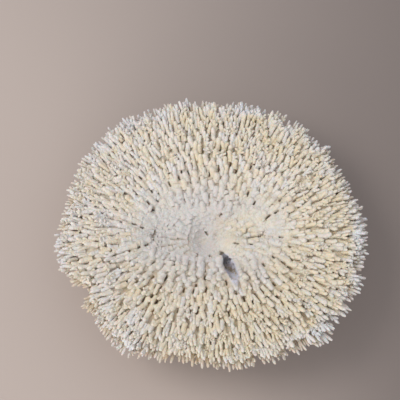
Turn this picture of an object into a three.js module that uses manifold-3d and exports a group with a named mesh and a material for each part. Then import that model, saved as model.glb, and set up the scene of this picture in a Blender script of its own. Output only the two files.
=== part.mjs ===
// Table coral: the bleached skeleton of a plate-forming coral colony, in millimetres.
// A stubby stalk, cut off flat underneath, carries a shallow bowl of fronds that fork outwards,
// and every frond is covered with finger-shaped branchlets that lean further out towards the rim.
// +Z is up, +X runs along the colony's longer side, and the origin is the middle of the flat cut.

import * as THREE from "three";
import { mergeVertices } from "three/addons/utils/BufferGeometryUtils.js";
import Module from "manifold-3d";

const wasm = await Module();
wasm.setup();

// Driving dimensions
const HALF_WIDTH = 150; // colony, along X, to its average rim
const HALF_DEPTH = 141; // colony, along Y, to its average rim
const CREST_ROOT = 50; // height of a frond's upper side where it leaves the crown
const CREST_RIM = 66; // and at the rim
const THICK_ROOT = 15; // frond thickness at the crown
const THICK_RIM = 6; // and at the rim
const CROWN_SHARE = 0.2; // share of the way to the rim where the fronds start
const EDGE_SHARE = 0.88; // and where their bodies end and only branchlets go on
const FROND_GAP = 1.2; // open space between neighbouring fronds
const JOINT_GAP = 0.5; // between a frond's root and the stalk
const KNOB_LENGTH = 8; // branchlets at the crown
const FINGER_LENGTH = 17; // and further out
const TIP_TAPER = 0.62; // a branchlet's tip against its foot
const TIP_REACH = 3.6; // and the most that the tip's corners stand off its middle
const BASE = { x: 46, y: 37 }; // half sizes of the flat cut
const WAIST = { x: 42, y: 31, z: 14 };
const SHOULDER = { x: 60, y: 34 };
const CUP_DEPTH = 7; // how far the crown's middle sinks
const THROAT = { x: 18, y: -19, radius: 5, stretch: 1.5, length: 30 };
const THROAT_AXIS = new THREE.Vector3(0.15, -0.45, 0.88).normalize();

// The fronds: the headings in degrees that each lies between, and how far its four limbs reach,
// as shares of the average rim
const FRONDS = [
  { from: -20, to: 9, limbs: [1.0, 1.02, 1.02, 1.0] },
  { from: 9, to: 38, limbs: [0.99, 0.98, 0.98, 1.0] },
  { from: 38, to: 67, limbs: [1.0, 1.02, 1.03, 1.01] },
  { from: 67, to: 97, limbs: [1.0, 1.01, 1.0, 0.99] },
  { from: 97, to: 126, limbs: [1.0, 1.02, 1.01, 1.0] },
  { from: 126, to: 155, limbs: [1.02, 0.99, 0.97, 0.96] },
  { from: 155, to: 184, limbs: [0.94, 0.94, 0.95, 0.97] },
  { from: 184, to: 213, limbs: [0.99, 0.98, 0.94, 0.86] },
  { from: 213, to: 245, limbs: [0.92, 0.97, 0.97, 0.97] },
  { from: 245, to: 276, limbs: [0.94, 0.92, 0.94, 0.92] },
  { from: 276, to: 308, limbs: [0.96, 0.97, 0.99, 0.99] },
  { from: 308, to: 340, limbs: [1.03, 1.04, 1.03, 1.01] },
];

// Branchlets side by side in each row, from the inside outwards: each fork doubles them
const FROND_COLUMNS = [2, 4, 4, 4, 4, 8, 8, 8, 8, 8];
const CROWN_COLUMNS = [6, 12, 24, 24];

// The growth lines fan out from a short ridge along X, so they cross a family of ellipses squarely
const RIDGE = Math.sqrt(HALF_WIDTH ** 2 - HALF_DEPTH ** 2);
const UP = new THREE.Vector3(0, 0, 1);
const SKELETON = new THREE.MeshStandardMaterial({ color: 0xe4dac6, roughness: 0.85, metalness: 0 });

const radians = THREE.MathUtils.degToRad;
const mix = THREE.MathUtils.lerp;
const steps = (count) => Array.from({ length: count + 1 }, (_, i) => i / count);

// A repeatable number from -1 to 1 for a seed
function sway(seed) {
  const wave = Math.sin(seed * 127.1 + 11.7) * 43758.5453;
  return 2 * (wave - Math.floor(wave)) - 1;
}

// Height and thickness of a frond, by reach: 0 at the ridge, 1 at the average rim
const outward = (reach) => THREE.MathUtils.clamp((reach - CROWN_SHARE) / (1 - CROWN_SHARE), 0, 1.1);
const crest = (reach) => mix(CREST_ROOT, CREST_RIM, 1 - (1 - outward(reach)) ** 2);
const thickness = (reach) => mix(THICK_ROOT, THICK_RIM, outward(reach));

// The point at a reach along the growth line with this heading
function plan(reach, heading, z = 0) {
  const across = reach * HALF_DEPTH;
  return new THREE.Vector3(Math.hypot(RIDGE, across) * Math.cos(heading), across * Math.sin(heading), z);
}

// Which way the growth line runs there
function growth(reach, heading) {
  return plan(reach + 0.01, heading).sub(plan(reach - 0.01, heading)).normalize();
}

// Millimetres along the rim for one radian of heading
const spread = (reach, heading) => Math.hypot(RIDGE * Math.sin(heading), reach * HALF_DEPTH);

// The strip of triangles between two lines of points. A surface is laid line after line, from its
// middle out over its edge and back underneath, and faces out when each line runs with the headings.
function strip(next, before) {
  const faces = [];
  let i = 0;
  let j = 0;
  while (i < next.length - 1 || j < before.length - 1) {
    if ((i + 1) / (next.length - 1) <= (j + 1) / (before.length - 1)) {
      faces.push(next[i], next[i + 1], before[j]);
      i += 1;
    } else {
      faces.push(next[i], before[j + 1], before[j]);
      j += 1;
    }
  }
  return faces;
}

// A branchlet in place of the patch between two short lines: its foot fills the patch, so neighbours
// are fused, and its blunt tip is the patch again, smaller, turned to face the way it grows
function branchlet(outer, inner, { direction, length, roll }) {
  const corners = [inner[0], inner.at(-1), outer[0], outer.at(-1)];
  const middle = new THREE.Vector3();
  for (const corner of corners) {
    middle.addScaledVector(corner, 0.25);
  }
  const [left, right, farLeft, farRight] = corners.map((corner) => {
    const offset = corner.clone().sub(middle).projectOnPlane(direction).multiplyScalar(TIP_TAPER);
    offset.clampLength(0, TIP_REACH).applyAxisAngle(direction, roll);
    return offset.add(middle).addScaledVector(direction, length);
  });
  return [
    ...strip([left, right], inner),
    ...strip([farLeft, farRight], [left, right]),
    ...strip(outer, [farLeft, farRight]),
    ...strip([inner[0], outer[0]], [left, farLeft]),
    ...strip([right, farRight], [inner.at(-1), outer.at(-1)]),
  ];
}

// A row of branchlets between two lines, as many side by side as columns says; shape gives each one's
// direction, length and roll
function row(outer, inner, columns, shape) {
  const cut = (line, i) => {
    const per = (line.length - 1) / columns;
    return line.slice(i * per, (i + 1) * per + 1);
  };
  const faces = [];
  for (let i = 0; i < columns; i += 1) {
    faces.push(...branchlet(cut(outer, i), cut(inner, i), shape((i + 0.5) / columns, i)));
  }
  return faces;
}

// A closed geometry as a solid
function solid(geometry) {
  geometry.deleteAttribute("normal");
  geometry.deleteAttribute("uv");
  const merged = mergeVertices(geometry, 1e-3);
  const vertProperties = merged.attributes.position.array;
  const triVerts = new Uint32Array(merged.index.array);
  return new wasm.Manifold(new wasm.Mesh({ numProp: 3, vertProperties, triVerts }));
}

// A named mesh from a solid
function mesh(name, shape) {
  const { vertProperties, triVerts } = shape.getMesh();
  const geometry = new THREE.BufferGeometry();
  geometry.setAttribute("position", new THREE.BufferAttribute(new Float32Array(vertProperties), 3));
  geometry.setIndex(new THREE.BufferAttribute(new Uint32Array(triVerts), 1));
  geometry.computeVertexNormals();
  const made = new THREE.Mesh(geometry, SKELETON);
  made.name = name;
  return made;
}

// The way a branchlet grows: outwards along the growth lines, tilted away from upright
function leaning(reach, heading, tilt, turn) {
  const away = growth(reach, heading).applyAxisAngle(UP, turn);
  return away.multiplyScalar(Math.sin(tilt)).addScaledVector(UP, Math.cos(tilt));
}

// The lines between rows of branchlets, one more than there are rows. A line has a point at every
// corner of the rows on both of its sides; pointAt places one from the share of the way out and round.
function seams(columns, pointAt) {
  return steps(columns.length).map((out, k) => {
    const corners = Math.max(columns[Math.max(0, k - 1)], columns[Math.min(k, columns.length - 1)]);
    return steps(corners).map((across, i) => pointAt(out, across, { columns: corners, seed: k * 30 + i }));
  });
}

// A frond: rows of leaning branchlets over its upper side, a row of level ones round its edge, and a
// plain underside with one rib
function frond(own, index) {
  const from = radians(own.from);
  const to = radians(own.to);
  const root = CROWN_SHARE + JOINT_GAP / HALF_DEPTH;
  const wander = (seed) => sway(index * 1013 + seed);
  const limbReach = (across) => {
    const at = THREE.MathUtils.clamp(across * 4 - 0.5, 0, 3);
    const low = Math.min(2, Math.floor(at));
    return mix(own.limbs[low], own.limbs[low + 1], at - low);
  };
  // How deep the forks cut into the edge: the main one at the middle, the later ones beside it
  const fork = (across) => ({ 0.25: 0.02, 0.5: 0.035, 0.75: 0.02 })[across] ?? 0;
  const edgeReach = (across) => EDGE_SHARE * limbReach(across) - fork(across);
  const headingAt = (reach, across) => {
    const gap = FROND_GAP / 2 / spread(reach, (from + to) / 2);
    return mix(from + gap, to - gap, across);
  };
  const at = (out, across, heightAt, aside = 0) => {
    const reach = mix(root, mix(EDGE_SHARE * limbReach(across), edgeReach(across), out ** 3), out);
    return plan(reach, headingAt(reach, across + aside), heightAt(reach, across));
  };
  const upper = (reach, across) => crest(reach) - 60 * fork(across) * outward(reach);
  const lower = (reach, across) => crest(reach) - thickness(reach) * (1 - 0.5 * Math.abs(across - 0.5));

  const lines = seams(FROND_COLUMNS, (out, across, { columns, seed }) => {
    const loose = out > 0 && out < 1;
    const within = loose && across > 0 && across < 1;
    const further = loose ? (0.15 * wander(seed)) / FROND_COLUMNS.length : 0;
    const aside = within ? (0.13 * wander(seed + 0.3)) / columns : 0;
    const raised = within ? 0.9 * wander(seed + 0.6) : 0;
    return at(out + further, across, upper, aside).addScaledVector(UP, raised);
  });
  const leaningRow = (k) => (across, i) => {
    const seed = 400 + k * 10 + i;
    const reach = mix(root, edgeReach(across), (k + 0.5) / FROND_COLUMNS.length);
    const share = outward(reach);
    const ridge = 2.5 * wander(700 + Math.floor(across * 8));
    const tilt = radians(mix(14, 64, share ** 0.85) + ridge + 2 * wander(seed));
    return {
      direction: leaning(reach, headingAt(reach, across), tilt, 0.035 * wander(seed + 0.3)),
      length: mix(KNOB_LENGTH, FINGER_LENGTH, Math.min(1, 1.6 * share)) * (1 + 0.18 * wander(seed + 0.6)),
      roll: 0.2 * wander(seed + 0.8),
    };
  };
  const levelRow = (across, i) => {
    const seed = 800 + i;
    const reach = edgeReach(across);
    const tilt = radians(86 + 3 * wander(seed));
    return {
      direction: leaning(reach, headingAt(reach, across), tilt, 0.06 * wander(seed + 0.3)),
      length: (limbReach(across) * (1 + 0.02 * wander(seed + 0.6)) - reach) * HALF_DEPTH,
      roll: 0.3 * wander(seed + 0.8),
    };
  };

  const faces = FROND_COLUMNS.flatMap((columns, k) => row(lines[k + 1], lines[k], columns, leaningRow(k)));
  const edge = steps(8).map((across) => at(1, across, (reach) => crest(reach) - THICK_RIM));
  faces.push(...row(edge, lines.at(-1), 8, levelRow));
  const underside = [0, 0.3, 0.6, 0.8].map((out) => steps(2).map((across) => at(out, across, lower)));
  underside.push(edge);
  for (let k = underside.length - 1; k > 0; k -= 1) {
    faces.push(...strip(underside[k - 1], underside[k]));
  }
  faces.push(...strip(lines[0], underside[0]));
  const side = (sheet, end) => sheet.map((points) => points.at(end));
  faces.push(...strip(side(underside, 0), side(lines, 0)));
  faces.push(...strip(side(lines, -1), side(underside, -1)));
  const name = `frond_${String(index + 1).padStart(2, "0")}`;
  return mesh(name, solid(new THREE.BufferGeometry().setFromPoints(faces)));
}

// The stalk: the cupped crown with its low knobs, the shoulder under the fronds, the waist and the cut
function stalk() {
  // The crown's points stand before the sides and the middles of the fronds
  const headings = FRONDS.flatMap(({ from, to }) => [radians(from), radians((from + to) / 2)]);
  const headingAt = (across) => headings[Math.round(across * headings.length) % headings.length];
  const crownAt = (out, across) => {
    const height = CREST_ROOT + 1 - CUP_DEPTH * (1 - out);
    return plan(CROWN_SHARE, headingAt(across)).multiplyScalar(mix(0.1, 1, out)).setZ(height);
  };
  const crown = seams(CROWN_COLUMNS, (out, across, { columns, seed }) => {
    const own = across < 1 ? seed : seed - columns;
    return crownAt(out, across).addScaledVector(UP, out < 1 ? 1.2 * sway(own) : 0);
  });
  const faces = strip(crown[0].slice(1, -1), [crown[0][0]]);
  CROWN_COLUMNS.forEach((columns, k) => {
    const knob = (across, i) => {
      const seed = 300 + k * 30 + i;
      return {
        direction: leaning(CROWN_SHARE, headingAt(across), 0.04 + 0.05 * k, 0.7 * sway(seed)),
        length: KNOB_LENGTH * (0.75 + 0.25 * sway(seed + 0.5)),
        roll: 0.3 * sway(seed + 0.8),
      };
    };
    faces.push(...row(crown[k + 1], crown[k], columns, knob));
  });

  const seat = CREST_ROOT - THICK_ROOT - 2 * JOINT_GAP;
  const ring = (pointAt) => [...headings, headings[0]].map(pointAt);
  const oval = (half, z) =>
    ring((turn) => new THREE.Vector3(half.x * Math.cos(turn), half.y * Math.sin(turn), z));
  const sides = [
    crown.at(-1),
    ring((heading) => plan(CROWN_SHARE, heading, seat)),
    oval(SHOULDER, seat - 1),
    oval(WAIST, WAIST.z),
    oval(BASE, 0),
  ];
  for (let k = 1; k < sides.length; k += 1) {
    faces.push(...strip(sides[k], sides[k - 1]));
  }
  const cut = sides.at(-1).slice(0, -1);
  faces.push(...strip([cut[0]], cut.slice(1)));
  const body = solid(new THREE.BufferGeometry().setFromPoints(faces));

  // The open throat in front of the middle: it runs down and away under a lip
  const throat = new THREE.CylinderGeometry(THROAT.radius, 0.7 * THROAT.radius, THROAT.length, 8);
  throat.scale(1, 1, THROAT.stretch);
  const upright = new THREE.Vector3(0, 1, 0);
  throat.applyQuaternion(new THREE.Quaternion().setFromUnitVectors(upright, THROAT_AXIS));
  throat.translate(THROAT.x, THROAT.y, CREST_ROOT);
  return mesh("stalk", body.subtract(solid(throat)));
}

const coral = new THREE.Group();
coral.add(stalk(), ...FRONDS.map(frond));

export default coral;
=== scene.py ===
# Table coral: the looks of a bleached, plate-forming coral skeleton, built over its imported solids.
# Lengths are in metres. The colony rests on its flat cut with +Z up, and the viewer stands at -Y.

import math
from collections import namedtuple

import bmesh
import bpy
import numpy as np
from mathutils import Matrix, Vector


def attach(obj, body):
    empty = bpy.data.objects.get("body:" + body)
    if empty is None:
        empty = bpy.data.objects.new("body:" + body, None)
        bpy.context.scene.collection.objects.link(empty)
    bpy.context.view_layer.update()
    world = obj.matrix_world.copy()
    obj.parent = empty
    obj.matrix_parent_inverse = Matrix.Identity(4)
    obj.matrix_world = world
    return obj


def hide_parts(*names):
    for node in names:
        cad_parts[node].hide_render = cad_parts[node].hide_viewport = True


bl_info = {
    "name": "Table Coral Skeleton",
    "version": (1, 0, 0),
    "blender": (4, 5, 0),
    "location": "3D View > Sidebar > Coral",
    "description": "Grows the branchlets of a table coral skeleton over its packed solids",
    "category": "Add Mesh",
}

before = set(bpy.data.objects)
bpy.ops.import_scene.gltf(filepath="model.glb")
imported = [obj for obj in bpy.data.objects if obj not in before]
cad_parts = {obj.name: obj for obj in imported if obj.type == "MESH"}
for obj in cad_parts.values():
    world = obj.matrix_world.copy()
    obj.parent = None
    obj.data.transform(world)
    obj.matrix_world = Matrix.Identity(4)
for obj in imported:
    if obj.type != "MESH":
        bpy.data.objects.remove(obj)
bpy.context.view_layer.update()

# The solids' driving sizes
HALF_WIDTH = 0.150
HALF_DEPTH = 0.141
RIDGE = math.sqrt(HALF_WIDTH**2 - HALF_DEPTH**2)
CREST_ROOT = 0.050
CREST_RIM = 0.066
THICK_ROOT = 0.015
THICK_RIM = 0.006
CROWN_SHARE = 0.2
CUP_DEPTH = 0.007

# The share of the way to the rim where the ribs end, how far the fused skin between the branchlets
# stands above the crest, and how far the growth lines wander
EDGE_SHARE = 0.895
FUSED_DEPTH = 0.0045
WANDER = 0.0011

# The reach at which the ribs and the plate of a frond start, under the crown's skin
ROOT_SHARE = CROWN_SHARE - 0.03
# The distance between two points of a rib's line, the length of its sway divided by a full turn,
# and the share of the way back to its middle that it is pulled at each point
RIB_STEP = 0.003
RIB_SWAY = 0.0045
RIB_PULL = 0.3
# Ribs and branchlets have this many times their set breadth at the crown and at the very rim
INNER_BREADTH = 1.45
RIM_BREADTH = 0.84

# Patches of the crown, each with its middle and its spans: the funnel, the smooth lobe beside it,
# and the side beyond them that is as cream as the fronds
FUNNEL = ((-0.005, -0.003), (0.010, 0.015))
LOBE = ((0.024, -0.007), (0.014, 0.012))
CREAM_SIDE = ((0.036, -0.002), (0.026, 0.026))
FUNNEL_DEPTH = 0.0110
LOBE_HEIGHT = 0.0045

# The number of low tongues on the crown, and of slits in it and in the inner half of a frond
CROWN_TONGUES = 210
CROWN_SLITS = 10
FROND_SLITS = 12
# The ends of the one slit in the funnel
FUNNEL_SLIT = ((-0.0036, 0.0086), (-0.0002, 0.0038))

# The stalk's rings, from its flare under the fronds by the shoulder and the waist to the flat cut:
# half width, half depth, height, how far its ribs stand out, and which share of that lies inside
STALK_RINGS = (
    (0.0695, 0.0445, 0.0435, 0.0040, 0.5),
    (0.0640, 0.0385, 0.0385, 0.0040, 0.5),
    (0.0600, 0.0340, 0.0340, 0.0040, 0.5),
    (0.0480, 0.0320, 0.0235, 0.0034, 0.0),
    (0.0420, 0.0310, 0.0140, 0.0020, 0.5),
    (0.0460, 0.0370, 0.0, 0.0010, 0.5),
)

# The headings towards which the gaps round the crown are shallowest, each with its share
SMOOTH_SIDES = ((math.radians(150), 1.0), (math.radians(15), 0.8))

# The headings, in degrees, that the fronds lie between
FROND_EDGES = (-20, 9, 38, 67, 97, 126, 155, 184, 213, 245, 276, 308, 340)

# The throat: points down the middle of the hollow, each with its radius
THROAT = (
    ((0.0262, -0.0500, 0.0635), 0.0024),
    ((0.0240, -0.0430, 0.0590), 0.0038),
    ((0.0212, -0.0350, 0.0535), 0.0050),
    ((0.0190, -0.0295, 0.0500), 0.0060),
    ((0.0170, -0.0245, 0.0478), 0.0060),
    ((0.0142, -0.0202, 0.0490), 0.0030),
    ((0.0104, -0.0165, 0.0510), 0.0012),
    ((0.0074, -0.0135, 0.0528), 0.0006),
)
# How many of these points belong to the wide part, the rest being the crease at its end
THROAT_WALL = 5

STALK = "stalk"
FRONDS = tuple(f"frond_{i + 1:02d}" for i in range(len(FROND_EDGES) - 1))
# The fronds that the throat cuts into
THROAT_FRONDS = FRONDS[9:11]

# A branchlet's pattern is this many times as long as its radius
SLENDER = 6.5

# Kinds of branchlet, and the odds of each near the crown, further out and at the rim
STRAIGHT, CURVED, HOOKED, FORKED, TWINNED, TUFTED = range(6)
INNER_ODDS = (0.40, 0.40, 0.08, 0.06, 0.06, 0.0)
OUTER_ODDS = (0.22, 0.20, 0.10, 0.18, 0.14, 0.16)
RIM_ODDS = (0.0, 0.10, 0.0, 0.30, 0.25, 0.35)

# The free ends of a rib, each with how far back and how high it starts, its girth and side,
# and the ranges of its tilt in degrees, its turn, and the share of the rim that it gets to
RIM_ENDS = (
    (0.006, 0.0005, 1.0, 1, (82, 90), (0.0, 0.10), (0.975, 1.008)),
    (0.010, 0.0022, 1.05, -1, (66, 74), (0.02, 0.14), (0.915, 0.975)),
    (0.006, -0.0008, 0.9, -1, (84, 93), (0.18, 0.32), (0.935, 0.988)),
)
# The share of the ribs with two free ends rather than three, and how slender these are
TWO_ENDED = 0.62
RIM_GIRTH = 0.78
# The share of a branchlet's length at which it must keep clear of the throat
NEAR_TIP = 0.8

# The lights, each with its place, its share of the key light's power, its width and its tint,
# the point they look at, and the point the camera looks at
LIGHTS = (
    ("key", (-0.72, 0.05, 1.00), 1.0, 0.6, (1.0, 0.98, 0.95)),
    ("front", (-0.30, -1.1, 0.40), 0.85, 0.7, (1.0, 0.97, 0.93)),
)
LIGHT_TARGET = (0, 0, 0.05)
TARGET = (-0.008, 0.034, 0.056)


# The growth map

def plan(reach, heading):
    """The plan point at a reach, 0 on the ridge and 1 at the average rim, along a growth line."""
    across = np.asarray(reach) * HALF_DEPTH
    return np.stack([np.hypot(RIDGE, across) * np.cos(heading), across * np.sin(heading)], axis=-1)


def wander(reach, heading):
    """The growth lines wander: a heading's small turn to one side at a reach."""
    out = np.asarray(reach) * HALF_DEPTH
    aside = np.sin(out / 0.0075 + 3.0 * np.sin(2 * heading + 0.7) + 1.5 * np.sin(7 * heading))
    aside = aside + 0.7 * np.sin(out / 0.0043 + 5.0 * np.sin(3 * heading + 2.1))
    loose = smooth_step(reach, CROWN_SHARE, 0.5)
    return WANDER * loose * aside / spread(np.maximum(reach, CROWN_SHARE), heading)


def place_of(points):
    """The reach and the heading of points."""
    x, y = points[..., 0], points[..., 1]
    spare = x * x + y * y - RIDGE**2
    across = np.sqrt((spare + np.sqrt(spare**2 + 4 * RIDGE**2 * y * y)) / 2)
    across = np.maximum(across, 1e-6)
    return across / HALF_DEPTH, np.arctan2(y / across, x / np.hypot(RIDGE, across))


def growth(reach, heading):
    """The direction in plan in which a growth line runs."""
    step = plan(reach + 0.01, heading) - plan(reach - 0.01, heading)
    return step / np.linalg.norm(step, axis=-1, keepdims=True)


def spread(reach, heading):
    """Metres along the rim for one radian of heading."""
    return np.hypot(RIDGE * np.sin(heading), reach * HALF_DEPTH)


def mix(low, high, share):
    return low + (high - low) * share


def outward(reach):
    """Share of the way from the crown's edge to the average rim."""
    return np.clip((np.asarray(reach) - CROWN_SHARE) / (1 - CROWN_SHARE), 0, 1.1)


def crest(reach):
    return mix(CREST_ROOT, CREST_RIM, 1 - (1 - outward(reach)) ** 2)


def thickness(reach):
    return mix(THICK_ROOT, THICK_RIM, outward(reach))


def smooth_step(value, low, high):
    share = np.clip((np.asarray(value) - low) / (high - low), 0, 1)
    return share * share * (3 - 2 * share)


def fill(reach):
    """How far the fused skin between the branchlets stands above the crest."""
    share = outward(reach)
    inner, outer = smooth_step(share, 0.05, 0.5), smooth_step(share, 0.6, 1.0)
    return FUSED_DEPTH * (1 - 0.30 * inner - 0.45 * outer)


def buried(reach):
    """How far a frond's root lies below its own level, under the crown's skin."""
    return 0.003 * (1 - smooth_step(reach, ROOT_SHARE, CROWN_SHARE - 0.005))


def smoothness(heading):
    """How shallow the gaps are towards a heading, from 0 to 1."""
    sides = [share * np.clip(np.cos(heading - side), 0, 1) ** 2 for side, share in SMOOTH_SIDES]
    return np.max(sides, axis=0)


def gap_depth(reach, heading):
    """How far the skin between two ribs lies below their tops."""
    side = smoothness(heading)
    share = smooth_step(outward(reach) - 0.16 * side, 0.02, 0.5)
    return mix(0.0012 - 0.0010 * side, 0.0024 - 0.0008 * side, share)


def breadth(reach):
    """How many times their set breadth ribs and branchlets have."""
    share = outward(reach)
    inner, rim = smooth_step(share, 0.08, 0.55), smooth_step(share, 0.75, 1)
    return mix(INNER_BREADTH, 1, inner) * mix(1, RIM_BREADTH, rim)


def lean_angle(reach):
    """How far branchlets lean away from upright."""
    return np.radians(mix(62, 70, outward(reach) ** 0.8))


def stand(reach):
    """How long the free part of a branchlet is."""
    return mix(0.0022, 0.0090, smooth_step(outward(reach), 0.0, 0.60))


def within(patch, x, y):
    """How much a plan point belongs to a patch, from 0 to 1."""
    (middle_x, middle_y), (span_x, span_y) = patch
    return np.exp(-(((x - middle_x) / span_x) ** 2 + ((y - middle_y) / span_y) ** 2))


def rim_reaches(node, low, high, columns=8):
    """How far a frond's solid reaches along its limbs, and the headings of those limbs."""
    reach, heading = place_of(points_of(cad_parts[node].data))
    heading = (heading - low + math.pi / 2) % math.tau + low - math.pi / 2
    column = np.clip((heading - low) / (high - low) * columns, 0, columns - 1).astype(int)
    middles = mix(low, high, (np.arange(columns) + 0.5) / columns)
    return middles, np.array([reach[column == i].max() for i in range(columns)])


# Mesh code

Foot = namedtuple("Foot", "place direction lift length girth kind")


class Form:
    """The closed shells of a piece's body, the feet of its branchlets and the slits in its skin."""

    def __init__(self):
        self.points = []
        self.faces = []
        self.feet = []
        self.slits = []

    def shell(self, points, faces):
        """Adds a closed skin, turned so that it faces outwards."""
        start = len(self.points)
        corner = np.asarray(points, float)
        corner = corner - corner.mean(axis=0)
        volume = 0.0
        for face in faces:
            for i in range(1, len(face) - 1):
                volume += corner[face[0]] @ np.cross(corner[face[i]], corner[face[i + 1]])
        if volume < 0:
            faces = [face[::-1] for face in faces]
        self.points.extend(points)
        self.faces.extend(tuple(start + i for i in face) for face in faces)

    def rings(self, rings):
        """A closed skin over rings of points, with flat ends."""
        around = len(rings[0])
        last = (len(rings) - 1) * around
        faces = [tuple(range(around))[::-1]]
        for here in range(0, last, around):
            for i in range(here, here + around):
                j = here + (i + 1 - here) % around
                faces.append((i, j, j + around, i + around))
        faces.append(tuple(range(last, last + around)))
        self.shell([p for ring in rings for p in ring], faces)

    def branchlet(self, place, direction, length, girth, kind, lift=(0, 0, 1)):
        self.feet.append(Foot(place, direction, lift, length, girth, kind))

    def open_slits(self, candidates, count, apart=0.006):
        """Keeps the candidates, pairs of plan points, that lie clearest of the branchlets."""
        foot = np.array([foot.place[:2] for foot in self.feet], float)
        reach = np.array([np.asarray(foot.direction[:2]) * foot.length for foot in self.feet])
        girth = np.array([foot.girth for foot in self.feet])
        axis = foot[:, None] + np.linspace(0.2, 1, 5)[None, :, None] * reach[:, None]
        middles = [(a + b) / 2 for a, b in candidates]
        room = []
        for middle in middles:
            room.append((np.linalg.norm(axis - middle, axis=2).min(axis=1) - girth).min())
        for i in np.argsort(room)[::-1]:
            near = any(np.linalg.norm((a + b) / 2 - middles[i]) < apart for a, b in self.slits)
            if not near and len(self.slits) < count:
                self.slits.append(candidates[i])


def tube(path, widths, heights, around=8):
    """Rings of points round a path, upright ovals half as wide and high as given."""
    path = np.asarray(path, float)
    along = np.gradient(path, axis=0)
    along /= np.linalg.norm(along, axis=1, keepdims=True)
    across = np.cross(along, (0, 0, 1))
    across /= np.linalg.norm(across, axis=1, keepdims=True)
    up = np.cross(across, along)
    turn = np.arange(around) / around * math.tau
    ring = np.cos(turn)[None, :, None] * across[:, None] * np.asarray(widths)[:, None, None]
    ring = ring + np.sin(turn)[None, :, None] * up[:, None] * np.asarray(heights)[:, None, None]
    return path[:, None] + ring


def points_of(mesh):
    points = np.empty(len(mesh.vertices) * 3, np.float32)
    mesh.vertices.foreach_get("co", points)
    return points.reshape(-1, 3).astype(float)


def store(mesh, label, values):
    """Stores a number or a vector for every point of a mesh."""
    values = np.asarray(values)
    kind, field, data = "FLOAT", "value", np.float32
    if values.ndim == 2:
        kind, field = "FLOAT_VECTOR", "vector"
    elif values.dtype.kind == "i":
        kind, data = "INT", np.int32
    place = mesh.attributes.new(label, kind, "POINT").data
    place.foreach_set(field, values.astype(data).ravel())


def new_mesh(name, points, edges=(), faces=()):
    mesh = bpy.data.meshes.new(name)
    mesh.from_pydata([tuple(map(float, point)) for point in points], edges, faces)
    return mesh


def new_piece(name, mesh):
    """An object at the origin with this mesh, linked to the scene."""
    piece = bpy.data.objects.new(name, mesh)
    bpy.context.scene.collection.objects.link(piece)
    return piece


def feet_object(name, feet):
    """An object with a loose point for every branchlet, which carries the branchlet's values."""
    mesh = new_mesh(name, [foot.place for foot in feet])
    for label in ("direction", "lift", "length", "girth", "kind"):
        store(mesh, label, [getattr(foot, label) for foot in feet])
    store(mesh, "tint", np.random.default_rng(len(feet)).uniform(0.01, 1, len(feet)))
    return new_piece(name, mesh)


def slits_object(name, slits):
    """An object with an edge on the ground under every slit."""
    ends = [(x, y, 0) for slit in slits for x, y in slit]
    edges = [(i, i + 1) for i in range(0, len(ends), 2)]
    return new_piece(name, new_mesh(name, ends, edges))


# Geometry Nodes

# The inputs that both trees have, each a number or a kind of socket
SHARED_INPUTS = {"Material": "Material", "Bump Size": 0.0024, "Bump Height": 0.0030, "Seed": 11.0}


class Tree:
    """A node tree being built: calls return sockets, and sockets given as values are linked."""

    def __init__(self, group):
        self.group = group

    def add(self, kind, values=None, output=0, **settings):
        node = self.group.nodes.new(kind)
        for name, value in settings.items():
            setattr(node, name, value)
        for key, value in (values or {}).items():
            for one in value if isinstance(value, list) else [value]:
                if isinstance(one, bpy.types.NodeSocket):
                    self.group.links.new(one, node.inputs[key])
                else:
                    node.inputs[key].default_value = one
        return node.outputs[output]

    def math(self, operation, *values):
        return self.add("ShaderNodeMath", dict(enumerate(values)), operation=operation)

    def plus(self, a, b):
        return self.math("ADD", a, b)

    def minus(self, a, b):
        return self.math("SUBTRACT", a, b)

    def times(self, a, b):
        return self.math("MULTIPLY", a, b)

    def axis(self, vector, index):
        return self.add("ShaderNodeSeparateXYZ", {0: vector}, output=index)

    def ramp(self, value, low, high):
        """Rises smoothly from 0 at one value to 1 at the other."""
        return self.add(
            "ShaderNodeMapRange",
            {"Value": value, "From Min": low, "From Max": high},
            interpolation_type="SMOOTHSTEP",
        )


class GeometryTree(Tree):
    """A Geometry Nodes tree with named inputs, each a number or a kind of socket."""

    def __init__(self, name, inputs):
        super().__init__(bpy.data.node_groups.new(name, "GeometryNodeTree"))
        face = self.group.interface
        for way in ("OUTPUT", "INPUT"):
            face.new_socket("Geometry", in_out=way, socket_type="NodeSocketGeometry")
        for label, value in {**SHARED_INPUTS, **inputs}.items():
            kind = value if isinstance(value, str) else "Float"
            socket = face.new_socket(label, in_out="INPUT", socket_type=f"NodeSocket{kind}")
            if kind == "Float":
                socket.default_value = value
        self.given = self.group.nodes.new("NodeGroupInput").outputs

    def attribute(self, label, kind):
        return self.add(
            "GeometryNodeInputNamedAttribute", {"Name": label}, output="Attribute", data_type=kind
        )

    def object(self, label):
        """The geometry of the object in one of the tree's inputs."""
        return self.add("GeometryNodeObjectInfo", {"Object": self.given[label]}, output="Geometry")

    def finish(self, geometry):
        skin = self.add("GeometryNodeRealizeInstances", {"Geometry": geometry})
        skin = self.add(
            "GeometryNodeSetMaterial", {"Geometry": skin, "Material": self.given["Material"]}
        )
        self.group.links.new(skin, self.group.nodes.new("NodeGroupOutput").inputs[0])
        return self.group


def bumps(tree, geometry):
    """Roughens a skin with soft bumps of the tree's own size, height and seed."""
    given = tree.given
    scale = tree.math("DIVIDE", 1.0, given["Bump Size"])
    noise = tree.add(
        "ShaderNodeTexNoise",
        {"Scale": scale, "W": given["Seed"], "Detail": 2.0, "Roughness": 0.6},
        noise_dimensions="4D",
    )
    height = tree.times(tree.minus(noise, 0.5), given["Bump Height"])
    normal = tree.add("GeometryNodeInputNormal")
    offset = tree.add("ShaderNodeVectorMath", {0: normal, "Scale": height}, operation="SCALE")
    return tree.add("GeometryNodeSetPosition", {"Geometry": geometry, "Offset": offset})


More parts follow.
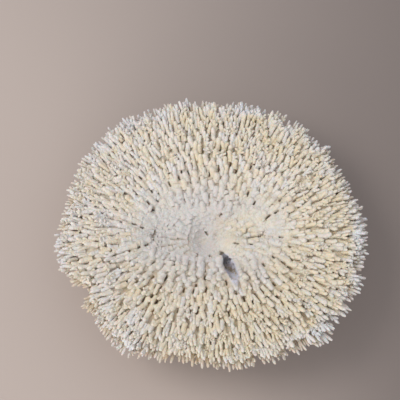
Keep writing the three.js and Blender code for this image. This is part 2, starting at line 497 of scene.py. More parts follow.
def branchlet_tree():
    """Puts a branchlet on every loose point: a tapered, flared finger of the point's own kind."""
    tree = GeometryTree("Coral branchlets", {
        "Foot Flare": 0.2, "Tip Girth": 0.85, "Bend": 0.9, "Fork Spread": 0.75, "Body": "Object",
    })
    given = tree.given
    profile = tree.add(
        "GeometryNodeCurvePrimitiveCircle", {"Resolution": 8, "Radius": 1.0}, mode="RADIUS"
    )

    def stem(start, middle, end, thin=1.0, flare=True, steps=7):
        """One tapered stem along a bent line, broader at its foot and closed to a blunt tip."""
        line = tree.add(
            "GeometryNodeCurveQuadraticBezier",
            {"Resolution": steps, "Start": start, "Middle": middle, "End": end},
        )
        share = tree.add("GeometryNodeSplineParameter")
        line = tree.add(
            "GeometryNodeStoreNamedAttribute",
            {"Geometry": line, "Name": "tip", "Value": share},
            data_type="FLOAT", domain="POINT",
        )
        foot = tree.math("POWER", tree.minus(1.0, share), 3.0)
        foot = tree.times(foot, given["Foot Flare"] if flare else 0.0)
        loss = tree.times(tree.math("POWER", share, 2.5), tree.minus(1.0, given["Tip Girth"]))
        girth = tree.times(tree.plus(tree.minus(1.0, loss), foot), thin)
        closing = tree.times(tree.math("GREATER_THAN", share, 0.95), 0.46)
        girth = tree.times(girth, tree.minus(1.0, closing))
        return tree.add(
            "GeometryNodeCurveToMesh",
            {"Curve": line, "Profile Curve": profile, "Fill Caps": True, "Scale": girth},
        )

    def up(z):
        """A point on the middle line."""
        return (0.0, 0.0, z * SLENDER)

    def aside(x, y, z):
        """A point pushed sideways by the bend."""
        across = tree.times(given["Bend"], x)
        return tree.add("ShaderNodeCombineXYZ", {"X": across, "Y": y, "Z": z * SLENDER})

    def apart(side, z):
        """A point pushed sideways by the fork."""
        across = tree.times(given["Fork Spread"], side)
        return tree.add("ShaderNodeCombineXYZ", {"X": 0.2, "Y": across, "Z": z * SLENDER})

    def nub(low, x, y, high):
        """A short cup that stands off a branchlet's side."""
        middle = (0.7 * x, 0.7 * y, (low + high) / 2 * SLENDER)
        return stem(up(low), middle, (x, y, high * SLENDER), 0.62, flare=False, steps=4)

    kinds = {
        STRAIGHT: [stem(up(0), aside(-0.1, 0.0, 0.5), aside(0.1, 0.1, 1.0))],
        CURVED: [stem(up(0), aside(-0.5, 0.1, 0.55), aside(0.5, -0.1, 1.0))],
        HOOKED: [stem(up(0), aside(-0.9, -0.2, 0.6), aside(0.6, 0.3, 0.97))],
        FORKED: [
            stem(up(0), apart(-0.3, 0.5), apart(-1.5, 1.0), 0.88),
            stem(up(0.4), apart(0.8, 0.6), apart(1.6, 0.93), 0.78, flare=False),
        ],
        TWINNED: [
            stem(up(0), apart(-0.5, 0.6), apart(-0.8, 1.0), 0.95),
            stem(up(0.25), apart(1.0, 0.45), apart(1.4, 0.74), 0.78, flare=False),
        ],
        TUFTED: [
            stem(up(0), aside(-0.3, 0.0, 0.5), aside(0.2, 0.1, 1.0), 0.92),
            nub(0.46, 1.2, 1.3, 0.68),
            nub(0.58, 0.6, -1.7, 0.82),
            nub(0.74, 1.7, 0.4, 0.97),
        ],
    }
    kind, girth = tree.attribute("kind", "INT"), tree.attribute("girth", "FLOAT")
    tall = tree.math("DIVIDE", tree.attribute("length", "FLOAT"), SLENDER)
    turn = tree.add(
        "FunctionNodeAxesToRotation",
        {
            "Primary Axis": tree.attribute("direction", "FLOAT_VECTOR"),
            "Secondary Axis": tree.attribute("lift", "FLOAT_VECTOR"),
        },
        primary_axis="Z",
        secondary_axis="X",
    )
    parts = []
    for number, stems in kinds.items():
        parts.append(tree.add("GeometryNodeInstanceOnPoints", {
            "Points": given["Geometry"],
            "Selection": tree.add(
                "FunctionNodeCompare", {2: kind, 3: number}, data_type="INT", operation="EQUAL"
            ),
            "Instance": tree.add("GeometryNodeJoinGeometry", {"Geometry": stems}),
            "Rotation": turn,
            "Scale": tree.add("ShaderNodeCombineXYZ", {"X": girth, "Y": girth, "Z": tall}),
        }))
    whole = tree.add("GeometryNodeJoinGeometry", {"Geometry": parts})
    whole = bumps(tree, tree.add("GeometryNodeRealizeInstances", {"Geometry": whole}))
    whole = [whole, tree.object("Body")]
    return tree.finish(tree.add("GeometryNodeJoinGeometry", {"Geometry": whole}))


def skin_tree():
    """Roughens a body with soft bumps, and sinks its slits from above."""
    inputs = {"Slits": "Object", "Slit Width": 0.0011, "Slit Depth": 0.006}
    tree = GeometryTree("Coral skin", inputs)
    given = tree.given
    flat = tree.add(
        "ShaderNodeVectorMath",
        {0: tree.add("GeometryNodeInputPosition"), 1: (1.0, 1.0, 0.0)},
        operation="MULTIPLY",
    )
    away = tree.add(
        "GeometryNodeProximity",
        {0: tree.object("Slits"), "Sample Position": flat},
        output="Distance", target_element="EDGES",
    )
    groove = tree.ramp(tree.math("DIVIDE", away, given["Slit Width"]), 1.0, 0.35)
    depth = tree.times(tree.times(groove, given["Slit Depth"]), -1.0)
    upward = tree.axis(tree.add("GeometryNodeInputNormal"), 2)
    return tree.finish(tree.add("GeometryNodeSetPosition", {
        "Geometry": bumps(tree, given["Geometry"]),
        "Selection": tree.math("GREATER_THAN", upward, 0.3),
        "Offset": tree.add("ShaderNodeCombineXYZ", {"Z": depth}),
    }))


def use_tree(piece, tree, settings, **values):
    """A Geometry Nodes modifier whose inputs are set by their sockets' identifiers."""
    values.update(
        bump_size=settings.bump_size,
        bump_height=settings.bump_height,
        seed=float(settings.seed),
    )
    modifier = piece.modifiers.new(tree.name, "NODES")
    modifier.node_group = tree
    for socket in tree.interface.items_tree:
        label = socket.name.lower().replace(" ", "_")
        if socket.in_out == "INPUT" and label in values:
            modifier[socket.identifier] = values[label]


def keep_main_body(mesh):
    """Deletes crumbs that hang loose from the main body."""
    edges = np.empty(len(mesh.edges) * 2, np.int32)
    mesh.edges.foreach_get("vertices", edges)
    a, b = edges[::2], edges[1::2]
    label = np.arange(len(mesh.vertices))
    before = None
    while not np.array_equal(label, before):
        before = label.copy()
        low = np.minimum(label[a], label[b])
        np.minimum.at(label, a, low)
        np.minimum.at(label, b, low)
        label = label[label]
    names, sizes = np.unique(label, return_counts=True)
    crumbs = np.flatnonzero(label != names[sizes.argmax()])
    if len(crumbs):
        work = bmesh.new()
        work.from_mesh(mesh)
        work.verts.ensure_lookup_table()
        bmesh.ops.delete(work, geom=[work.verts[i] for i in crumbs], context="VERTS")
        work.to_mesh(mesh)
        work.free()


def apply_modifiers(piece, material):
    """Turns what a piece's modifiers make into its plain mesh."""
    grown = piece.evaluated_get(bpy.context.evaluated_depsgraph_get())
    mesh = bpy.data.meshes.new_from_object(grown)
    piece.modifiers.clear()
    start = piece.data
    piece.data = mesh
    bpy.data.meshes.remove(start)
    mesh.name = piece.name
    mesh.materials.clear()
    mesh.materials.append(material)
    mesh.shade_smooth()
    return mesh


def fuse(piece, settings, material, slits, hollow, soften):
    """Fuses shells into one skin, opens the hollow, roughens the skin and sinks the slits."""
    def change(name, kind, **values):
        modifier = piece.modifiers.new(name, kind)
        for label, value in values.items():
            setattr(modifier, label, value)

    grain = {"mode": "VOXEL", "voxel_size": settings.skin_grain, "use_smooth_shade": True}
    change("Fuse", "REMESH", **grain)
    if hollow:
        change("Throat", "BOOLEAN", operation="DIFFERENCE", solver="EXACT", object=hollow)
        change("Fuse again", "REMESH", **grain)
    change("Soften", "SMOOTH", factor=0.5, iterations=soften)
    tree = bpy.data.node_groups.get("Coral skin") or skin_tree()
    use_tree(piece, tree, settings, material=material, slits=slits)
    change("Thin out", "DECIMATE", ratio=settings.thinning)
    keep_main_body(apply_modifiers(piece, material))


def local_tops(points, cell=0.001, near=2):
    """The height of the tops round each point: the highest points near by, evened out."""
    half = 200
    column, row = np.floor((points[:, :2] + half * cell) / cell).astype(int).T
    tops = np.full((2 * half, 2 * half), points[:, 2].min())
    np.maximum.at(tops, (column, row), points[:, 2])
    moves = [(i, j) for i in range(-near, near + 1) for j in range(-near, near + 1)]
    for join in (np.max, np.mean):
        tops = join([np.roll(tops, move, axis=(0, 1)) for move in moves], axis=0)
    return tops[column, row]


def throat_line(points, steps):
    """Places down the middle of the throat, and its radius at each."""
    share = np.linspace(0, len(points) - 1, steps)
    columns = zip(*((*place, radius) for place, radius in points))
    x, y, z, radius = (np.interp(share, range(len(points)), column) for column in columns)
    return np.column_stack([x, y, z]), radius


def mark_growth(mesh):
    """Stores how deep each point lies, how far out, and whether in a groove or in the throat."""
    points = points_of(mesh)
    x, y, z = points.T
    reach, heading = place_of(points)
    out = outward(reach)
    funnel = within(FUNNEL, x, y)
    path, radius = throat_line(THROAT[:THROAT_WALL], 26)
    gap = np.linalg.norm(points[:, None] - path[None], axis=2) - radius
    hollow = 1 - smooth_step(gap.min(axis=1), 0.0002, 0.0014)

    # How deep it lies under the tips, which sets the painted shade browning the gaps, less so where
    # the crown is bare and the gaps are shallow
    rise = stand(reach) * np.cos(lean_angle(reach))
    skin = np.where(reach < CROWN_SHARE, crown_height(x, y, reach), crest(reach) + fill(reach))
    tips = skin + rise + 0.0012 * (1 - smooth_step(out, 0, 0.6))
    deep = np.clip((tips - z) / (rise + 0.004), 0, 1)
    bare = np.where(reach < CROWN_SHARE + 0.05, np.maximum(within(LOBE, x, y), funnel), 0)
    deep *= np.where(reach < CROWN_SHARE, 0.85, 1) * (1 - 0.8 * bare)
    deep *= 1 - 0.4 * smoothness(heading) * (1 - 0.6 * smooth_step(out, 0.2, 0.9))

    # How deep in a groove of the crown, or in the throat, which sets the painted shade there
    below = local_tops(points) - z
    groove = smooth_step(below, 0.0010, 0.0040) * (1 - smooth_step(out, 0.05, 0.40))
    groove = mix(groove, smooth_step(below, 0.0060, 0.0105), hollow)

    # Neither counts on the underside
    under = crest(reach) - thickness(reach)
    upper = smooth_step(z, under, under + 0.6 * thickness(reach))
    deep, groove = deep * upper, groove * np.maximum(upper, hollow)
    groove *= 1 - 0.70 * funnel**0.4

    # The side of the crown beyond the funnel is as cream as the fronds, and the funnel is made the
    # greyest as painted shade in its hollow
    cream = np.maximum(1 - upper, within(CREAM_SIDE, x, y))
    out = np.maximum(out, 0.45 * cream) - 0.3 * funnel
    for label, values in (("deep", deep), ("out", out), ("hollow", hollow), ("groove", groove)):
        store(mesh, label, values)

    # The body has no tint of its own
    tint = np.empty(len(points), np.float32)
    mesh.attributes["tint"].data.foreach_get("value", tint)
    tint[tint == 0] = 0.5
    mesh.attributes["tint"].data.foreach_set("value", tint)


# The pieces' forms

def in_throat(point, margin=0.0018):
    """Whether a point hangs in or over the throat."""
    return any(np.linalg.norm(point - at) < radius + margin for at, radius in THROAT)


def lay_ribs(random, low, high, edge_at, spacing):
    """The forking ribs of a frond, each with a line of (reach, heading) from the crown outwards."""
    middle = (low + high) / 2
    count = max(2, round((high - low) * spread(ROOT_SHARE, middle) / (INNER_BREADTH * spacing)))
    bounds = np.linspace(low, high, count + 1)
    bounds[1:-1] += random.uniform(-0.12, 0.12, count - 1) * (high - low) / count
    waiting = [
        (near, far, ROOT_SHARE, (near + far) / 2, 0.0) for near, far in zip(bounds, bounds[1:])
    ]
    ribs = []
    while waiting:
        near, far, reach, heading, travelled = waiting.pop(0)
        line = [(reach, heading)]
        rib = {"line": line, "near": near, "far": far, "start": travelled, "ends": True}
        ribs.append(rib)
        fork_width = random.uniform(1.25, 1.45)
        sway, phase = random.uniform(0.3, 1.0) * 0.001, random.uniform(0, math.tau)
        # A rib beside a border keeps close to it, so that the gap there is no wider than the others
        hug = 0.09 * (float(far >= high - 1e-6) - float(near <= low + 1e-6))
        centre = mix(near, far, 0.5 + hug)
        edge = edge_at(centre) + random.uniform(-0.02, 0.02)
        while reach < edge and rib["ends"]:
            reach += RIB_STEP / HALF_DEPTH
            travelled += RIB_STEP
            wave = sway * math.sin(phase + travelled / RIB_SWAY) / spread(reach, heading)
            heading += (centre + wave - heading) * RIB_PULL
            line.append((reach, heading))
            room = (far - near) * spread(reach, centre)
            if room > fork_width * spacing * breadth(reach) and reach < edge - 0.05:
                rib["ends"] = False
        if not rib["ends"]:
            split = mix(near, far, random.uniform(0.44, 0.56))
            waiting.append((near, split, reach, heading, travelled))
            # The second starts its row of branchlets out of step with the first
            waiting.append((split, far, reach, heading, travelled + 0.0045))
    return ribs


def lean(reach, heading, tilt, turn):
    """A direction tilted away from upright along a growth line, and turned aside."""
    along = growth(reach, heading)
    along = np.array([
        along[0] * math.cos(turn) - along[1] * math.sin(turn),
        along[0] * math.sin(turn) + along[1] * math.cos(turn),
    ])
    return np.array([*(along * math.sin(tilt)), math.cos(tilt)])


def frond_form(index, settings):
    """One frond: its forking ribs, the plate between them and the branchlets on them."""
    random = np.random.default_rng(settings.seed + 31 * index)
    low, high = (math.radians(FROND_EDGES[index + i]) for i in (0, 1))
    headings, reaches = rim_reaches(FRONDS[index], low, high)

    def rim_at(heading):
        return float(np.interp(heading, headings, reaches))

    def edge_at(heading):
        return EDGE_SHARE * rim_at(heading)

    form = Form()
    ribs = lay_ribs(random, low, high, edge_at, settings.rib_spacing)
    for rib in ribs:
        line = np.array(rib["line"])
        line[:, 1] += wander(line[:, 0], line[:, 1])
        rib["line"] = line
        reach, heading = line[:, 0], line[:, 1]
        width = (rib["far"] - rib["near"]) * spread(reach, heading)
        top = crest(reach) + fill(reach) - buried(reach)
        under = crest(reach) - thickness(reach)
        path = np.column_stack([plan(reach, heading), (top + under) / 2])
        keep = np.unique(np.r_[np.arange(0, len(line), 2), len(line) - 1])
        if len(keep) > 1:
            halves = np.clip(0.36 * width, 0.0015, 0.0034)
            form.rings(tube(path[keep], halves[keep], ((top - under) / 2)[keep]))
        grow_branchlets(form, random, rib, rim_at, settings)

    # Slits between the inner ribs
    candidates = []
    for rib in ribs:
        far = rib["far"]
        for reach in rib["line"][::2, 0]:
            if reach > CROWN_SHARE and outward(reach) < 0.5 and far < high - 0.01:
                heading = far + float(wander(reach, far))
                heading += random.uniform(-0.0012, 0.0012) / float(spread(reach, far))
                middle = plan(reach, heading)
                half = growth(reach, heading) * random.uniform(0.0012, 0.0026)
                if not in_throat(np.array([*middle, crest(reach)]), 0.006):
                    candidates.append((middle - half, middle + half))
    form.open_slits(candidates, FROND_SLITS)

    # The plate between the ribs, a little wider than the frond so that it meets its neighbours'
    columns, rows = 17, 29
    turns = np.linspace(low, high, columns)
    edge = np.array([edge_at(turn) - 0.03 for turn in turns])
    edge -= 0.04 * np.abs(np.sin(turns * 37 + index))
    spare = np.linspace(-1, 1, columns) * 0.0014 / HALF_DEPTH
    rings = []
    for out in np.linspace(0, 1, rows):
        reach = mix(ROOT_SHARE, edge, out)
        turn = turns + spare / np.maximum(reach, CROWN_SHARE)
        turn = turn + wander(reach, turn)
        top = crest(reach) + fill(reach) - gap_depth(reach, turn) - buried(reach)
        under = crest(reach) - 0.74 * thickness(reach)
        flat = plan(reach, turn)
        rings.append(np.vstack([
            np.column_stack([flat, top]), np.column_stack([flat, under])[::-1],
        ]))
    form.rings(rings)
    return form


def grow_branchlets(form, random, rib, rim_at, settings):
    """Branchlets along one rib, leaning further out the further out they stand."""
    line, spacing = rib["line"], settings.branchlet_spacing
    travelled = rib["start"] + RIB_STEP * np.arange(len(line))
    side = 1 if random.random() < 0.5 else -1
    stop = travelled[-1] + (0.001 if rib["ends"] else -0.0015)
    next_at = rib["start"] + random.uniform(0, 1) * spacing
    while next_at < stop:
        reach, heading = (float(np.interp(next_at, travelled, column)) for column in line.T)
        share = float(outward(reach))
        side = -side
        tilt = float(lean_angle(reach)) + math.radians(random.normal(0, 7))
        turn = side * random.uniform(-0.08, 0.30)
        length = float(stand(reach)) * random.uniform(0.85, 1.15)
        left = (rim_at(heading) * random.uniform(0.88, 0.94) - reach) * HALF_DEPTH
        length = min(length, left / math.sin(tilt))
        room = (rib["far"] - rib["near"]) * float(spread(reach, heading))
        radius = settings.branchlet_radius * float(breadth(reach))
        girth = min(max(0.44 * room, 0.86 * radius), 1.2 * radius) * random.uniform(0.84, 1.12)
        kind = int(random.choice(6, p=OUTER_ODDS if share > 0.35 else INNER_ODDS))
        aside = side * random.uniform(-0.0002, 0.0013)
        out = growth(reach, heading)
        foot = plan(reach, heading) + aside * np.array([-out[1], out[0]])
        sunk = float(mix(0.0080, 0.003, smooth_step(share, 0, 0.5)))
        height = crest(reach) + fill(reach) - sunk * math.cos(tilt)
        direction = lean(reach, heading, tilt, turn)
        lift = np.array([*(out * -0.4), 1.0]) + random.normal(0, 0.25, 3)
        foot = np.array([*foot, height])
        if not in_throat(foot + direction * (length + sunk) * NEAR_TIP):
            form.branchlet(foot, direction, length + sunk, girth, kind, lift)
        next_at += spacing * random.uniform(0.7, 1.3)
    if rib["ends"]:
        grow_rim(form, random, rib, rim_at, settings)


def grow_rim(form, random, rib, rim_at, settings):
    """The free ends of a rib: a long level branchlet, and shorter ones above and beside it."""
    reach, heading = rib["line"][-1]
    rim = rim_at(heading)
    radius = settings.branchlet_radius * RIM_GIRTH
    out = growth(reach, heading)
    height = crest(reach) - 0.5 * thickness(reach)
    side = 1 if random.random() < 0.5 else -1
    ends = []
    for back, above, slim, turned, *ranges in RIM_ENDS:
        ends.append((back, above, slim, turned * side, *(random.uniform(*one) for one in ranges)))
    if random.random() < TWO_ENDED:
        ends = ends[:2]
    for back, above, slim, aside, tilt, turn, share in ends:
        tilt, turn = math.radians(tilt), aside * turn
        start = plan(reach, heading) - back * out
        direction = lean(reach, heading, tilt, turn)
        gap = (rim * share - reach) * HALF_DEPTH + back
        length = max(0.009, gap / max(0.5, math.sin(tilt) * math.cos(turn)))
        kind = int(random.choice(6, p=RIM_ODDS))
        lift = np.array([0, 0, 1.0]) + random.normal(0, 0.3, 3)
        girth = radius * slim * random.uniform(0.9, 1.08)
        form.branchlet((*start, height + above), direction, length, girth, kind, lift)


def crown_height(x, y, reach):
    """The height of the crown's skin: a cup, with a funnel and a broad lobe beside the throat."""
    cup = CREST_ROOT + FUSED_DEPTH - CUP_DEPTH * np.clip(1 - reach / CROWN_SHARE, 0, 1)
    return cup - FUNNEL_DEPTH * within(FUNNEL, x, y) + LOBE_HEIGHT * within(LOBE, x, y)


def grow_tongues(form, random):
    """Low tongues, spread evenly over the crown and lying away from the funnel."""
    tongues = []
    breadths = np.array([math.hypot(RIDGE, CROWN_SHARE * HALF_DEPTH), CROWN_SHARE * HALF_DEPTH])
    while len(tongues) < CROWN_TONGUES:
        best, room = None, -1.0
        for _ in range(16):
            place = random.uniform(-1, 1, 2) * breadths
            at = float(place_of(place)[0])
            if at > CROWN_SHARE:
                continue
            gap = min((float(np.hypot(*(place - other[0]))) for other in tongues), default=1.0)
            if gap > room:
                best, room = (place, at), gap
        if best:
            tongues.append(best)
    for place, at in tongues:
        away = place - FUNNEL[0]
        side = math.atan2(away[1], away[0]) + random.uniform(-0.3, 0.3)
        tilt = math.radians(random.uniform(66, 77))
        lobe = float(within(LOBE, *place))
        length = random.uniform(0.008, 0.012) * (1 - 0.4 * lobe)
        length *= min(1, 0.5 + float(np.hypot(*away)) / 0.02)
        height = float(crown_height(*place, at)) - 0.0045 - 0.0008 * lobe
        height -= 0.0009 * float(within(FUNNEL, *place)) ** 0.4
        girth = random.uniform(0.0030, 0.0042)
        flat = math.sin(tilt)
        direction = np.array([math.cos(side) * flat, math.sin(side) * flat, math.cos(tilt)])
        foot = np.array([*place, height])
        if not in_throat(foot + direction * length * NEAR_TIP):
            form.branchlet(foot, direction, length, girth, (STRAIGHT, CURVED)[random.integers(2)])


def crown_form(settings):
    """The crown with its low tongues and slits, and the stalk down to its flat cut."""
    random = np.random.default_rng(settings.seed + 500)
    around = 96
    turn = np.arange(around) / around * math.tau
    rings = []
    for share in (0.02, 0.15, 0.3, 0.45, 0.6, 0.75, 0.88, 1.0):
        reach = np.full(around, CROWN_SHARE * share)
        flat = plan(reach, turn)
        # Between the tongues the skin lies lower, but not on the lobe or at the edge
        bare = np.maximum(within(LOBE, *flat.T), 0.7 * within(FUNNEL, *flat.T))
        sunk = 0.0022 * (1 - bare) * (1 - smooth_step(reach, 0.13, 0.19))
        rings.append(np.column_stack([flat, crown_height(*flat.T, reach) - sunk]))
    rings.append(np.column_stack([flat, np.full(around, CREST_ROOT - 0.5 * THICK_ROOT)]))
    ribs = 0.5 + 0.5 * np.cos(turn * 23 + 1.3 * np.sin(turn * 3))
    for x, y, z, bulge, inset in STALK_RINGS:
        out = 1 + bulge * (ribs - inset) / x
        rings.append(np.column_stack([
            x * np.cos(turn) * out, y * np.sin(turn) * out, np.full(around, z),
        ]))
    form = Form()
    form.rings([ring[::-1] for ring in rings])
    grow_tongues(form, random)

    form.slits.append(tuple(np.array(end) for end in FUNNEL_SLIT))
    candidates = []
    for _ in range(300):
        at = CROWN_SHARE * math.sqrt(random.uniform(0.05, 1))
        middle = plan(at, random.uniform(0, math.tau))
        away = middle - FUNNEL[0]
        half = away / np.linalg.norm(away) * random.uniform(0.0012, 0.0024)
        if not in_throat(np.array([*middle, float(crown_height(*middle, at))]), 0.004):
            candidates.append((middle - half, middle + half))
    form.open_slits(candidates, CROWN_SLITS)
    return form


def throat_tool():
    """The shape that the throat is cut with."""
    steps, around = 21, 20
    path, width = throat_line(THROAT, steps)
    for _ in range(3):
        path[1:-1] = (path[:-2] + 2 * path[1:-1] + path[2:]) / 4
    share = np.linspace(0, len(THROAT) - 1, steps)[:, None]
    turn = np.arange(around) / around * math.tau
    dents = 0.13 * np.sin(3 * turn + 2.1 * share) + 0.09 * np.sin(5 * turn - 3.7 * share)
    rings = tube(path, width, width * 1.15, around)
    form = Form()
    form.rings(path[:, None] + (rings - path[:, None]) * (1 + dents)[..., None])
    return new_piece("throat_tool", new_mesh("throat_tool", form.points, faces=form.faces))


class MaterialTree(Tree):
    """A new material's node tree, with the place in the object's own axes to start from."""

    def __init__(self, name):
        self.material = bpy.data.materials.new(name)
        self.material.use_nodes = True
        super().__init__(self.material.node_tree)
        self.group.nodes.clear()
        self.place = self.add("ShaderNodeTexCoord", output="Object")

    def blend(self, share, low, high):
        """Mixes two colours, each a socket or a setting."""
        low, high = (c if isinstance(c, bpy.types.NodeSocket) else (*c, 1) for c in (low, high))
        return self.add("ShaderNodeMix", {0: share, 6: low, 7: high}, output=2, data_type="RGBA")

    def finish(self, values):
        surface = self.add("ShaderNodeBsdfPrincipled", values)
        out = self.group.nodes.new("ShaderNodeOutputMaterial")
        self.group.links.new(surface, out.inputs["Surface"])
        return self.material


# Materials

def skeleton_material(settings):
    """Dry coral skeleton: cream with cool and yellow clouds and white tips, with painted shade
    browning the gaps, greying the funnel and darkening the grooves and the throat.
    """
    tree = MaterialTree("bleached_skeleton")
    ramp = tree.ramp

    def noise(scale, detail=3.0):
        return tree.add(
            "ShaderNodeTexNoise", {"Vector": tree.place, "Scale": scale, "Detail": detail}
        )

    def mark(label):
        return tree.add("ShaderNodeAttribute", attribute_name=label, output="Fac")

    # Where the skeleton is cool and where it has yellowed
    x, y = (tree.axis(tree.place, i) for i in (0, 1))
    slant = tree.minus(tree.times(x, 1.3), tree.times(y, 0.6))
    yellowed = ramp(tree.plus(slant, tree.minus(noise(28.0), 0.5)), -0.32, 0.20)
    colour = tree.blend(yellowed, settings.cool_cream, settings.warm_cream)

    tint, hollow = mark("tint"), mark("hollow")
    ragged = tree.plus(mark("out"), tree.times(tree.minus(noise(60.0), 0.5), 0.5))
    # The painted shade for the grooves and for the bottom of the throat
    dark = tree.blend(hollow, settings.groove_shade_umber, settings.throat_shadow_dark)
    # Stains and painted shade laid over each other, each with where it lies, its strength and its
    # colour
    for share, strength, stain in (
        (ramp(noise(150.0), 0.42, 0.68), 0.45, settings.yellow_patch),
        # No two branchlets are quite alike
        (ramp(tint, 0.55, 1.0), 0.45, settings.yellow_patch),
        (ramp(tint, 0.45, 0.0), 0.45, settings.rim_white),
        # The middle has stayed cool and dull, the funnel greyer still as painted shade, and the rim
        # is the whitest
        (ramp(ragged, 0.45, -0.05), 0.9, settings.inner_grey),
        (ramp(ragged, 0.82, 1.03), 0.85, settings.rim_white),
        # Gaps browned partly in their own colour and partly as painted shade, white tips, and
        # painted blue-grey shade on the wall of the throat
        (ramp(mark("deep"), 0.40, 1.0), 0.70, settings.gap_shade_and_speck_brown),
        (ramp(mark("tip"), 0.55, 1.0), 0.30, settings.tip_white),
        # Painted shade: the wall of the throat is turned blue-grey as the cool shade inside it
        (hollow, 0.80, settings.throat_shade_blue),
        # Painted shade: umber in the grooves round the inner tongues, and near black at the bottom
        # of the throat
        (ramp(mark("groove"), 0.25, 0.95), 0.80, dark),
        # Dark specks
        (ramp(noise(620.0, 2.0), 0.42, 0.72), 0.30, settings.gap_shade_and_speck_brown),
    ):
        colour = tree.blend(tree.times(share, strength), colour, stain)

    # Tiny cups all over, and a chalky grain
    cups = tree.add(
        "ShaderNodeTexVoronoi", {"Vector": tree.place, "Scale": 720.0}, feature="SMOOTH_F1"
    )
    grain = noise(2600.0)
    relief = tree.plus(tree.times(cups, 0.7), tree.times(grain, 0.4))
    return tree.finish({
        "Base Color": colour,
        "Roughness": tree.add(
            "ShaderNodeMapRange", {"Value": grain, "To Min": 0.78, "To Max": 0.96}
        ),
        "Normal": tree.add(
            "ShaderNodeBump", {"Strength": 0.8, "Distance": 0.0008, "Height": relief}
        ),
        "Specular IOR Level": 0.25,
        "Subsurface Weight": 0.12,
        "Subsurface Scale": 0.002,
    })


def floor_material(settings):
    """A matt studio sheet with painted shade: darker towards the right, and more suddenly so in
    front, where it stands for the coral's shadow.
    """
    tree = MaterialTree("studio_sheet")
    x, y = (tree.axis(tree.place, i) for i in (0, 1))
    depth = tree.math("MINIMUM", tree.math("MAXIMUM", y, -0.22), 0.30)
    left = tree.math("MULTIPLY_ADD", depth, -0.60, -0.14)
    right = tree.math("MULTIPLY_ADD", depth, 0.35, 0.28)
    colour = tree.blend(tree.ramp(x, left, right), settings.floor_light, settings.floor_dark)
    return tree.finish({"Base Color": colour, "Roughness": 0.9})


# The add-on

def colour(name, description, default):
    return bpy.props.FloatVectorProperty(
        name=name, description=description, default=default, subtype="COLOR", size=3, min=0, max=1
    )


def number(name, description, default, **more):
    return bpy.props.FloatProperty(name=name, description=description, default=default, **more)


def size(name, description, default):
    return number(name, description, default, min=0.0001, unit="LENGTH", precision=5)


class CoralSettings(bpy.types.PropertyGroup):
    rib_spacing: size("Rib spacing", "Distance between neighbouring ribs at the rim", 0.0049)
    branchlet_spacing: size("Branchlet spacing", "Distance between branchlets along a rib", 0.0070)
    branchlet_radius: size("Branchlet radius", "Half a branchlet's thickness near the rim", 0.0022)
    skin_grain: size("Skin grain", "Finest detail of the fused skin", 0.0009)
    thinning: number("Thinning", "Share of the skin's faces that are kept", 0.5, min=0.05, max=1)
    bump_size: size("Bump size", "Width of the soft bumps on the skin", 0.0024)
    bump_height: size("Bump height", "Height of the soft bumps on the skin", 0.0030)
    seed: bpy.props.IntProperty(
        name="Seed", description="Chooses another colony of the same shape", default=11
    )
    cool_cream: colour("Cool cream", "Where the skeleton has stayed whitest", (0.70, 0.655, 0.62))
    warm_cream: colour("Warm cream", "Where it has yellowed", (0.69, 0.61, 0.47))
    yellow_patch: colour("Yellow patches", "Small stains all over", (0.69, 0.575, 0.385))
    inner_grey: colour("Inner grey", "The fused middle", (0.585, 0.555, 0.54))
    rim_white: colour("Rim white", "The branchlets along the rim", (0.655, 0.66, 0.705))
    throat_shade_blue: colour("Hollow blue", "The wall of the throat", (0.47, 0.48, 0.57))
    throat_shadow_dark: colour("Hollow dark", "The bottom of the throat", (0.13, 0.13, 0.15))
    gap_shade_and_speck_brown: colour("Gap brown", "Deep between the branchlets", (0.48, 0.365, 0.24))
    groove_shade_umber: colour("Groove umber", "Between the inner tongues", (0.20, 0.155, 0.115))
    tip_white: colour("Tip white", "Growing tips", (0.68, 0.655, 0.615))


class StudioSettings(bpy.types.PropertyGroup):
    lens: number("Lens", "Focal length", 70, unit="CAMERA")
    elevation: number(
        "Elevation", "Camera's height above the horizon", math.radians(69), subtype="ANGLE"
    )
    distance: size("Distance", "From the camera to the point it looks at", 0.76)
    floor_light: colour("Sheet, left", "Studio sheet on the lit side", (0.405, 0.338, 0.302))
    floor_dark: colour("Sheet, right", "Studio sheet on the far side", (0.185, 0.152, 0.138))
    key_power: number("Key light", "Soft light", 6.2, unit="POWER")
    fill: number("Fill", "Light from all round", 0.82, min=0)


def dress(name, form, context, node, cut=False, soften=2):
    """Makes one piece from its form and puts it in place of its solid."""
    settings = context.scene.table_coral
    material = bpy.data.materials.get("bleached_skeleton") or skeleton_material(settings)
    body = new_piece(f"{name}_body", new_mesh(f"{name}_body", form.points, faces=form.faces))
    slits = slits_object(f"{name}_slits", form.slits)
    tool = throat_tool() if cut else None
    fuse(body, settings, material, slits, tool, soften)
    piece = feet_object(name, form.feet)
    tree = bpy.data.node_groups.get("Coral branchlets") or branchlet_tree()
    use_tree(piece, tree, settings, material=material, body=body)
    mesh = apply_modifiers(piece, material)
    for spare in filter(None, (body, slits, tool)):
        bpy.data.objects.remove(spare)
    mark_growth(mesh)
    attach(piece, "root")
    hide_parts(node)
    print(name, sum(len(face.vertices) - 2 for face in mesh.polygons), "triangles")
    return piece


def aimed(name, data, where, way):
    """A light or a camera at a place, looking one way."""
    piece = new_piece(name, data)
    piece.location = where
    piece.rotation_mode = "QUATERNION"
    piece.rotation_quaternion = way.to_track_quat("-Z", "Y")
    return piece


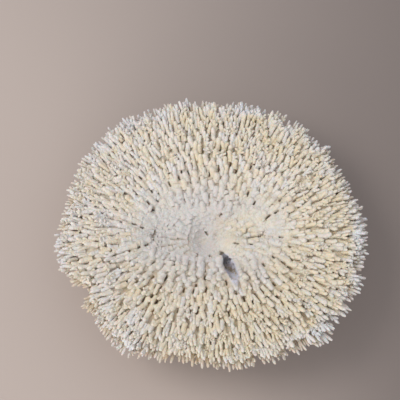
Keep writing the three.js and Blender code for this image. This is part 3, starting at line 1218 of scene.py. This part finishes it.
class CORAL_OT_crown(bpy.types.Operator):
    """Grow the knobbed crown and the stalk down to its flat cut"""

    bl_idname = "coral.grow_crown"
    bl_label = "Grow crown and stalk"

    def execute(self, context):
        form = crown_form(context.scene.table_coral)
        mesh = dress("crown_and_stalk", form, context, STALK, cut=True, soften=4).data
        # The flat cut lies on the ground
        points = points_of(mesh)
        points[points[:, 2] < 0.0008, 2] = 0
        mesh.vertices.foreach_set("co", points.astype(np.float32).ravel())
        mesh.update()
        return {"FINISHED"}


class CORAL_OT_fronds(bpy.types.Operator):
    """Grow the twelve fronds and their branchlets"""

    bl_idname = "coral.grow_fronds"
    bl_label = "Grow fronds"

    def execute(self, context):
        for index, node in enumerate(FRONDS):
            form = frond_form(index, context.scene.table_coral)
            dress(f"{node}_branchlets", form, context, node, cut=node in THROAT_FRONDS)
        return {"FINISHED"}


class CORAL_OT_stage(bpy.types.Operator):
    """Lay the studio sheet and set the lights and the camera"""

    bl_idname = "coral.set_stage"
    bl_label = "Set the stage"

    def execute(self, context):
        studio = context.scene.coral_studio
        scene = context.scene
        half = 3.0
        corners = [(-half, -half, 0), (half, -half, 0), (half, half, 0), (-half, half, 0)]
        mesh = new_mesh("studio_sheet", corners, faces=[(0, 1, 2, 3)])
        mesh.materials.append(floor_material(studio))
        new_piece("studio_sheet", mesh)

        world = bpy.data.worlds.new("studio")
        world.use_nodes = True
        back = world.node_tree.nodes["Background"]
        back.inputs["Color"].default_value = (0.93, 0.95, 1.0, 1)
        back.inputs["Strength"].default_value = studio.fill
        scene.world = world

        for name, where, share, width, tint in LIGHTS:
            light = bpy.data.lights.new(name, "AREA")
            light.energy = studio.key_power * share
            light.size = width
            light.color = tint
            aimed(name, light, where, Vector(LIGHT_TARGET) - Vector(where))

        eye = bpy.data.cameras.new("camera")
        eye.lens = studio.lens
        eye.sensor_width = 36
        away = Vector((0, -math.cos(studio.elevation), math.sin(studio.elevation)))
        scene.camera = aimed("camera", eye, Vector(TARGET) + away * studio.distance, -away)
        scene.view_settings.view_transform = "Standard"
        return {"FINISHED"}


class CORAL_PT_panel(bpy.types.Panel):
    bl_label = "Table coral"
    bl_idname = "CORAL_PT_panel"
    bl_space_type = "VIEW_3D"
    bl_region_type = "UI"
    bl_category = "Coral"

    def draw(self, context):
        for settings in (context.scene.table_coral, context.scene.coral_studio):
            for name in settings.__annotations__:
                self.layout.prop(settings, name)
        for operator in (CORAL_OT_stage, CORAL_OT_crown, CORAL_OT_fronds):
            self.layout.operator(operator.bl_idname)


CLASSES = (
    CoralSettings, StudioSettings, CORAL_OT_stage, CORAL_OT_crown, CORAL_OT_fronds, CORAL_PT_panel,
)


def register():
    for kind in CLASSES:
        bpy.utils.register_class(kind)
    bpy.types.Scene.table_coral = bpy.props.PointerProperty(type=CoralSettings)
    bpy.types.Scene.coral_studio = bpy.props.PointerProperty(type=StudioSettings)


def unregister():
    del bpy.types.Scene.coral_studio
    del bpy.types.Scene.table_coral
    for kind in reversed(CLASSES):
        bpy.utils.unregister_class(kind)


def main():
    register()
    bpy.ops.coral.set_stage()
    bpy.ops.coral.grow_crown()
    bpy.ops.coral.grow_fronds()


if __name__ == "__main__":
    main()
